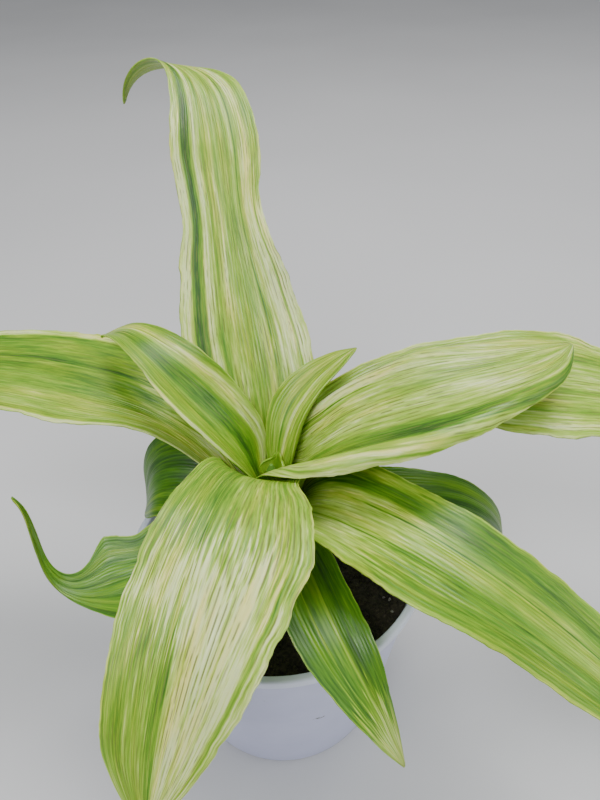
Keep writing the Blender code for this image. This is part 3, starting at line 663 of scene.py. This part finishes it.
def leaf_midrib(name, leaf, drift):
    """The line that a leaf grows along, as a mesh with what each row needs on its points."""
    length, width = leaf["length"], leaf["width"]
    sheath = leaf.get("sheath", SHEATH)
    azimuth = leaf["azimuth"]
    ring = stem_radius(leaf["node"]) + SHEATH_CLEARANCE
    rows = int(length / ROW_SPACING) + EXTRA_ROWS
    row_share = np.linspace(0, 1, (rows - 1) * FINE + 1)
    along = length * row_share ** ROW_BUNCHING
    blade = np.clip((along - sheath) / (length - sheath), 0, 1)
    in_sheath = along < sheath
    flare = np.radians(FLARE)

    pitch = np.where(in_sheath, 90 - FLARE, through((90 - FLARE,) + leaf["pitch"], blade))
    heading = np.where(in_sheath, azimuth, through((azimuth,) + leaf["heading"], blade))
    roll = np.where(in_sheath, 0, through((0,) + leaf["roll"], blade))
    tilt = 90 + (pitch - 90) * ease(blade / TIP_OVER)
    pitch, heading, roll, tilt = (np.radians(angle) for angle in (pitch, heading, roll, tilt))

    cos_h, sin_h = np.cos(heading), np.sin(heading)
    tangent = np.stack([np.cos(pitch) * cos_h, np.cos(pitch) * sin_h, np.sin(pitch)], -1)
    foot = np.array([ring * cos_h[0], ring * sin_h[0], leaf["node"]])
    steps = (tangent[1:] + tangent[:-1]) / 2 * np.diff(along)[:, None]
    midrib = foot + np.vstack([np.zeros(3), np.cumsum(steps, 0)])
    side = np.stack([-sin_h, cos_h, 0 * heading], -1)
    inner = np.stack([-np.sin(tilt) * cos_h, -np.sin(tilt) * sin_h, np.cos(tilt)], -1)
    cos_r, sin_r = np.cos(roll)[:, None], np.sin(roll)[:, None]
    side, inner = side * cos_r + inner * sin_r, inner * cos_r - side * sin_r

    height, count, phase = leaf["wave"]
    grow = height * ease((blade - 0.12) * 4) * ease((1 - blade) * 5)
    floats = {"thick": BLADE / 2 * ease(along / 0.6) * ease((length - along) / 1.2) * MM,
              "flat": ease((blade - 0.10) * 5) * ease((1 - blade) * 4),
              "row_share": row_share, "along": along * MM, "drift": through(drift, row_share)}
    for hand, shift in (("right_", 0.0), ("left_", 0.31)):
        wrap, outline, cup, curl = (
            leaf.get(hand + key, leaf.get(key, usual))
            for key, usual in (("wrap", WRAP), ("outline", None), ("cup", None), ("curl", (0, 0))))
        mouth = (ring + sheath * np.sin(flare)) * np.radians(wrap)
        spread = width / 2 * through((mouth / (width / 2),) + outline, blade)
        half = np.where(in_sheath, (ring + along * np.sin(flare)) * np.radians(wrap), spread)
        cup = np.radians(np.where(in_sheath, wrap, through((wrap,) + cup, blade)))
        bend = cup - np.radians(through((0,) + curl, blade)) / MARGIN_STRIP
        bend = np.where(np.abs(bend) < 0.02, 0.02, bend)
        wave = grow * (np.sin(2 * np.pi * (count * blade + phase + shift))
                       + 0.35 * np.sin(2 * np.pi * (1.7 * count * blade + 2.3 * phase - shift)))
        for key, values in (("half", half * MM), ("cup", cup), ("bend", bend), ("wave", wave * MM)):
            floats[hand + key] = values

    mesh = bpy.data.meshes.new(name)
    keep = slice(None, None, FINE)
    mesh.from_pydata([tuple(p * MM) for p in midrib[keep]], [(i, i + 1) for i in range(rows - 1)], [])
    for label, values in {"side": side, "inner": inner, **floats}.items():
        kind, field = ("FLOAT_VECTOR", "vector") if values.ndim == 2 else ("FLOAT", "value")
        mesh.attributes.new(label, kind, "POINT").data.foreach_set(
            field, values[keep].astype(np.float32).ravel())
    return mesh


def sine(number):
    return maths(number.tree, "SINE", number)


def cosine(number):
    return maths(number.tree, "COSINE", number)


def combined(tree, x, y, z):
    """Three numbers as a vector."""
    return node_out(tree, "ShaderNodeCombineXYZ", {0: x, 1: y, 2: z})


def sample(tree, geometry, value, index, kind="FLOAT"):
    """What a value is at one point of a geometry."""
    inputs = {"Geometry": geometry, "Value": value, "Index": index}
    return node_out(tree, "GeometryNodeSampleIndex", inputs, data_type=kind, domain="POINT")


def store(tree, geometry, label, value, kind="FLOAT"):
    """Keep a value on the points of a geometry."""
    inputs = {"Geometry": geometry, "Name": label, "Value": value}
    return node_out(tree, "GeometryNodeStoreNamedAttribute", inputs, data_type=kind, domain="POINT")


def grid(tree, rows, columns):
    """A flat sheet with this many points each way, from -1 to 1."""
    inputs = {"Size X": 2.0, "Size Y": 2.0, "Vertices X": rows, "Vertices Y": columns}
    return node_out(tree, "GeometryNodeMeshGrid", inputs)


def blade_tree():
    """Spreads a leaf's thin blade along its midrib: a cupped sheet first, then a closed skin."""
    numbers = ("Ribs", "Rib Height", "Nick Depth", "Seed")
    tree, given, result = tree_inputs("leaf_blade", (
        ("Columns", "Int"), *((label, "Float") for label in numbers), ("Leaf", "Material")))
    line = given.outputs["Geometry"]
    columns, ribs, rib_height, nick_depth, seed = (
        Number(tree, given.outputs[label]) for label in ("Columns", *numbers))
    rows = number_node(tree, "GeometryNodeAttributeDomainSize", {"Geometry": line}, component="MESH")
    lengthways, across, _ = coordinates(tree, here(tree))
    row = maths(tree, "ROUND", (lengthways * 0.5 + 0.5) * (rows - 1))

    def at_row(label):
        """A number that the midrib holds for this row."""
        return Number(tree, sample(tree, line, named(tree, label), row))

    def vector_at_row(vector):
        return sample(tree, line, vector, row, "FLOAT_VECTOR")

    flat, on_left = at_row("flat"), maths(tree, "GREATER_THAN", across, 0.0)

    def of_hand(label):
        """What the half of the leaf on this side of the midrib has."""
        right, left = at_row("right_" + label), at_row("left_" + label)
        return on_left * (left - right) + right

    half, cup, bend, wave = (of_hand(label) for label in ("half", "cup", "bend", "wave"))
    far = abs(across)
    beyond = maths(tree, "MAXIMUM", far - (1 - MARGIN_STRIP), 0.0)
    angle = cup * maths(tree, "MINIMUM", far, 1 - MARGIN_STRIP)
    ridge = cup * (1 - MARGIN_STRIP)
    rolled = bend * beyond + ridge
    hand = maths(tree, "SIGN", across)

    def run(first, second, third, fourth):
        """Distance made along the cupped part, then along the rolled strip."""
        return ((first - second) / cup + (third - fourth) / bend) * half

    out = run(sine(angle), 0.0, sine(rolled), sine(ridge)) * hand
    rise = far ** 2.2 * wave + run(1.0, cosine(angle), cosine(ridge), cosine(rolled))
    rise = rise + cosine(across * (ribs * np.pi)) * (1.0 - far ** 4.0) * flat * rib_height
    place = combined(tree, at_row("along") * NICKS_EACH_METRE, hand * 3.0, seed)
    ragged = noise(tree, place, 1.0, 3.0, 0.6) - 0.5
    out = out * (far ** 6.0 * ragged * (flat * nick_depth) + 1.0)
    centre = vector_at_row(here(tree))
    side, inner = (vector_at_row(named(tree, label, "FLOAT_VECTOR")) for label in ("side", "inner"))
    spot = added(tree, centre, added(tree, scaled(tree, side, out), scaled(tree, inner, rise)))
    sheet = store(tree, grid(tree, rows, columns), "over", across)
    sheet = node_out(tree, "GeometryNodeSetPosition", {"Geometry": sheet, "Position": spot})

    twice = columns * 2.0
    column = maths(tree, "ROUND", (across * 0.5 + 0.5) * twice)
    past_top = maths(tree, "GREATER_THAN", column, columns - 0.5)
    under = past_top * maths(tree, "LESS_THAN", column, twice - 0.5)
    index = row * columns + (under * (twice - 1.0 - column) + column * (1.0 - past_top))
    on_sheet = sample(tree, sheet, here(tree), index, "FLOAT_VECTOR")
    normal = node_out(tree, "GeometryNodeInputNormal")
    outward = sample(tree, sheet, normal, index, "FLOAT_VECTOR")
    over = Number(tree, sample(tree, sheet, named(tree, "over"), index))
    thinned = 1.0 - abs(over) ** 8.0 * EDGE_THINNING
    lift = scaled(tree, outward, at_row("thick") * thinned * (under * -2.0 + 1.0))
    over_share = over * 0.5 + 0.5
    pattern = combined(tree, over_share - at_row("drift"), at_row("row_share"), over_share)
    skin = store(tree, grid(tree, rows, twice + 1.0), "pattern", pattern, "FLOAT_VECTOR")
    skin = store(tree, skin, "under", under)
    skin = node_out(tree, "GeometryNodeSetPosition",
                    {"Geometry": skin, "Position": added(tree, on_sheet, lift)})
    skin = node_out(tree, "GeometryNodeMergeByDistance", {"Geometry": skin, "Distance": SAME_POINT})
    tree.links.new(realized(tree, skin, given.outputs["Leaf"]), result.inputs[0])
    return tree


def stripe_group():
    """One stripe along a blade: soft at its sides, frayed at its ends."""
    tree = bpy.data.node_groups.new("leaf_stripe", "ShaderNodeTree")
    labels = ("Green", "Across", "Along", "Fray", "Place", "Width", "Strength", "From", "To")
    for label in labels:
        tree.interface.new_socket(label, in_out="INPUT", socket_type="NodeSocketFloat")
    tree.interface.new_socket("Green", in_out="OUTPUT", socket_type="NodeSocketFloat")
    given = tree.nodes.new("NodeGroupInput").outputs
    result = tree.nodes.new("NodeGroupOutput")
    green, across, along, fray, place, width, strength, start, stop = (
        Number(tree, given[label]) for label in labels)
    half, soft = width * 0.5, width * STRIPE_SOFTNESS + 0.004
    inside = smooth_step(tree, abs(across - place), half - soft, half + soft, 1.0, 0.0)
    frayed = fray * 0.5 + along
    begun = smooth_step(tree, frayed, start - STRIPE_FADE, start + STRIPE_FADE)
    ended = smooth_step(tree, frayed, stop - STRIPE_FADE, stop + STRIPE_FADE, 1.0, 0.0)
    share = inside * (begun * ended)
    feed(tree, result.inputs[0], share * (strength - green) + green)
    return tree


LEAF_COLOURS = ((0.00, (0.71, 0.80, 0.36)), (0.08, (0.66, 0.76, 0.28)), (0.18, (0.49, 0.64, 0.13)),
                (0.36, (0.32, 0.50, 0.045)), (0.54, (0.20, 0.38, 0.016)), (0.72, (0.10, 0.265, 0.010)),
                (0.88, (0.046, 0.15, 0.008)), (1.00, (0.026, 0.09, 0.010)))
DASH_COLOUR = (0.15, 0.20, 0.03)       # the short dark dashes along the veins
OLIVE_TINT, OLIVE_MOST = (1.16, 0.98, 0.66), 0.85      # where a blade yellows, and how far
UNDER_GREEN, UNDER_RANGE = 0.30, 0.35  # the backs are green, with a part of the marks showing
VEIN_SPACING, RIDGE_SPACING = 1.4, 1.15
VEIN_WANDER = 0.035                    # of the leaf's width
FRAY_REACH = 0.9                       # how far the sides of a stripe fray
# Painted shade and light of the pleats: their valleys are painted a deeper green, their ridges paler.
PAINTED_PLEAT_SHADE = -0.035
MARGIN_FROM, MARGIN_FULL = 0.480, 0.496        # of the width, out from the midrib
MARGIN_PALE = 0.6                      # how far this thin line along the margins pales
LEAF_SKIN = {"IOR": 1.45, "Subsurface Weight": 0.28, "Subsurface Radius": (0.55, 1.0, 0.2),
             "Subsurface Scale": 1.6 * MM}
# Streaks in a blade: a step across and a step along, in millimetres, what sets the pattern apart,
# detail, roughness.
STREAKS = {
    "wander": (14.0, 34.0, 0.3, 1.0, 0.5), "fray": (0.9, 14.0, 5.1, 2.0, 0.6),
    "broad": (2.8, 60.0, 9.7, 1.0, 0.5), "mottle": (8.0, 20.0, 51.9, 2.0, 0.5),
    "fine": (1.0, 17.0, 14.2, 3.0, 0.6), "hair": (0.5, 6.0, 23.8, 2.0, 0.7),
    "margin": (30.0, 6.0, 61.7, 2.0, 0.5), "olive": (5.0, 34.0, 71.3, 2.0, 0.6),
    "broken": (1.4, 7.0, 31.3, 2.0, 0.6), "crowd": (7.0, 26.0, 37.9, 1.0, 0.5)}


def leaf_material(name, leaf, marks, seed, ribs):
    """Cream blade with frayed green streaks along its veins, and thin pale margins."""
    material, tree, shader = new_material(name)
    pattern = add_node(tree, "ShaderNodeAttribute", attribute_name="pattern").outputs["Vector"]
    under = add_node(tree, "ShaderNodeAttribute", attribute_name="under").outputs["Fac"]
    across, along, over = coordinates(tree, pattern)
    width, length = leaf["width"], leaf["length"]

    def streak(kind):
        """Noise drawn out along the blade, from -0.5 to 0.5."""
        step_across, step_along, shift, detail, roughness = STREAKS[kind]
        place = combined(tree, across * (width / step_across), along * (length / step_along),
                         seed + shift)
        return noise(tree, place, 1.0, detail, roughness) - 0.5

    bent = streak("wander") * VEIN_WANDER + across
    fray, fine = streak("fray"), streak("fine")
    ragged = fray * (FRAY_REACH / width) + bent
    green = streak("broad") * (1.4 * marks["streaks"]) + marks["ground"]
    for place, wide, strength, *span in marks["stripes"]:
        start, stop = span or WHOLE_LENGTH
        inputs = {"Green": green, "Across": ragged, "Along": along, "Fray": fray, "Place": place,
                  "Width": wide, "Strength": strength, "From": start, "To": stop}
        green = number_node(tree, "ShaderNodeGroup", inputs, node_tree=stripes)
    for streaks, share in ((streak("mottle"), 1.0), (fine, 3.0), (streak("hair"), 1.4)):
        green = streaks * (share * marks["streaks"]) + green
    # Painted shade: the valleys of the pleats are painted a deeper green and their ridges paler, as the light
    # falls on them.
    green = cosine((over * 2.0 - 1.0) * (ribs * np.pi)) * PAINTED_PLEAT_SHADE + green
    margin = (smooth_step(tree, abs(over - 0.5), MARGIN_FROM, MARGIN_FULL)
              * smooth_step(tree, streak("margin"), -0.12, 0.10, 0.3, 1.0))
    green = green * (1.0 - margin * marks.get("margin", MARGIN_PALE))
    above = colour_ramp(tree, green, LEAF_COLOURS)
    below = colour_ramp(tree, green * UNDER_RANGE + UNDER_GREEN, LEAF_COLOURS)
    olive = smooth_step(tree, streak("olive"), -0.06, 0.18, 0.0, OLIVE_MOST)
    chosen = mix_colours(tree, olive, mix_colours(tree, under, above, below), OLIVE_TINT, "MULTIPLY")
    veins = cosine(bent * (2 * np.pi * width / VEIN_SPACING))
    broken = smooth_step(tree, streak("broken"), -0.08, 0.08)
    crowd = smooth_step(tree, streak("crowd"), -0.22, 0.06)
    dashes = smooth_step(tree, veins, 0.2, 0.95) * (broken * crowd) * marks["dashes"]
    feed(tree, shader.inputs["Base Color"], mix_colours(tree, dashes, chosen, DASH_COLOUR))
    feed(tree, shader.inputs["Roughness"], smooth_step(tree, fine, -0.2, 0.2, 0.28, 0.42))
    for label, value in LEAF_SKIN.items():
        shader.inputs[label].default_value = value
    ridges = sine(bent * (width / RIDGE_SPACING * 2 * np.pi))
    bump(tree, shader, ridges * 0.35 + fine * 1.6, 0.00010, 0.8)
    return material


stripes = stripe_group()
blade = blade_tree()
for number, (name, leaf) in enumerate(LEAVES.items()):
    marks, is_bud = MARKINGS[name], name == "leaf_bud"
    ribs = float(round(leaf["width"] / RIB_SPACING / 2))
    midrib = leaf_midrib(name + "_midrib", leaf, marks.get("drift", (0, 0)))
    piece = grown("grown_" + name, midrib, blade, {
        "Columns": BUD_COLUMNS if is_bud else LEAF_COLUMNS, "Ribs": ribs,
        "Rib Height": 0.0 if is_bud else RIB_HEIGHT * MM, "Nick Depth": 2 * NICK_DEPTH,
        "Seed": 3.7 * number, "Leaf": leaf_material(name + "_skin", leaf, marks, 10.0 * number, ribs)})
    finish_piece(piece, name, 55.0)


# The stem is short, round and fleshy, pinched a little under each leaf, with its foot in the soil.
# The sheaths hide nearly all of it. Its top, inside the bud, is painted a dark green: partly its own
# young green, partly painted shade inside the bud.
STEM_STEPS = 40
FOOT_ROUND, PINCH = 1.2, 0.35
DARK_TOP_LENGTH = 6.0                     # of the top of the stem painted dark green, young green deepened with painted shade
FIBRE_COLOURS = ((0.35, (0.26, 0.36, 0.08)), (0.62, (0.42, 0.50, 0.16)))
TOP_GREEN_AND_PAINTED_SHADE = (0.10, 0.24, 0.02)


def stem_profile():
    """Up from the foot, with a pinch under each leaf, to a blunt tip."""
    foot = SOIL_LEVEL - SOIL_HOLE_DEPTH + GAP
    profile = [(STEM_BASE_RADIUS - FOOT_ROUND, foot), (STEM_BASE_RADIUS - 0.2, foot + FOOT_ROUND),
               (STEM_BASE_RADIUS - 0.2, SOIL_LEVEL - 4.0), (stem_radius(SOIL_LEVEL), SOIL_LEVEL)]
    for node in sorted(leaf["node"] for leaf in LEAVES.values()):
        if node < STEM_TOP - 3.0:
            profile.append((stem_radius(node) - PINCH, node - 0.9))
            profile.append((stem_radius(node + 1.2) - 0.02, node + 0.8))
    profile += [(stem_radius(STEM_TOP - 1.0), STEM_TOP - 1.0), (STEM_TOP_RADIUS * 0.7, STEM_TOP + 2.0),
                (STEM_TOP_RADIUS * 0.25, STEM_TOP + 4.6)]
    return profile


stem_skin, tree, shader = new_material("stem_skin")
place = place_on_piece(tree)
drawn = node_out(tree, "ShaderNodeMapping", {"Vector": place, "Scale": (1.0, 1.0, 0.12)})
fibres = noise(tree, drawn, 900.0, 3.0)
# Painted shade: the top of the stem, inside the bud, is painted a dark green, deeper than its young green, as
# the shade there.
dark_top = smooth_step(tree, coordinates(tree, place)[2], (STEM_TOP - DARK_TOP_LENGTH) * MM, STEM_TOP * MM)
fibrous = colour_ramp(tree, fibres, FIBRE_COLOURS)
feed(tree, shader.inputs["Base Color"], mix_colours(tree, dark_top, fibrous, TOP_GREEN_AND_PAINTED_SHADE))
shader.inputs["Roughness"].default_value = 0.75
bump(tree, shader, fibres, 0.0002, 0.6)
stem = turned_mesh("potted_stem", stem_profile(), STEM_STEPS, stem_skin)
finish_piece(stem, "stem", 60.0)


# The plant stands on a plain pale floor in a pale room. Soft square lamps hang above it, in front
# of it and to its right.
FLOOR_HALF = 6.0                       # metres
FLOOR_COLOURS = ((0.3, (0.60, 0.60, 0.61)), (0.7, (0.64, 0.64, 0.65)))
corners = [(x * FLOOR_HALF, y * FLOOR_HALF, 0.0) for x, y in ((-1, -1), (1, -1), (1, 1), (-1, 1))]
floor_mesh = bpy.data.meshes.new("floor")
floor_mesh.from_pydata(corners, [], [(0, 1, 2, 3)])
floor_paint, tree, shader = new_material("floor_paint")
mottled = noise(tree, place_on_piece(tree), 3.0)
feed(tree, shader.inputs["Base Color"], colour_ramp(tree, mottled, FLOOR_COLOURS))
shader.inputs["Roughness"].default_value = 0.85
floor_mesh.materials.append(floor_paint)
floor = put("floor", floor_mesh)

# The name, place, size and power of each lamp, in metres and watts, and its tint.
LAMPS = (("lamp_above", (0.15, 0.2, 1.35), 0.65, 13.5, (1.0, 0.99, 0.97)),
         ("lamp_front", (-0.3, -0.85, 1.3), 0.5, 10.5, (0.97, 0.98, 1.0)),
         ("lamp_side", (1.2, -0.2, 0.9), 0.8, 4.0, (0.97, 0.98, 1.0)))
TARGET = Vector((0.0, 0.0, 0.11))
for name, spot, size, power, tint in LAMPS:
    lamp = bpy.data.lights.new(name, "AREA")
    lamp.size, lamp.energy, lamp.color = size, power, tint
    holder = put(name, lamp)
    holder.location = spot
    holder.rotation_euler = (TARGET - Vector(spot)).to_track_quat("-Z", "Y").to_euler()

ROOM_COLOUR, ROOM_STRENGTH = (0.84, 0.86, 0.88, 1.0), 0.42

room = bpy.data.worlds.new("room")
bpy.context.scene.world = room
room.use_nodes = True
air = room.node_tree.nodes["Background"].inputs
air["Color"].default_value = ROOM_COLOUR
air["Strength"].default_value = ROOM_STRENGTH

bpy.context.view_layer.update()
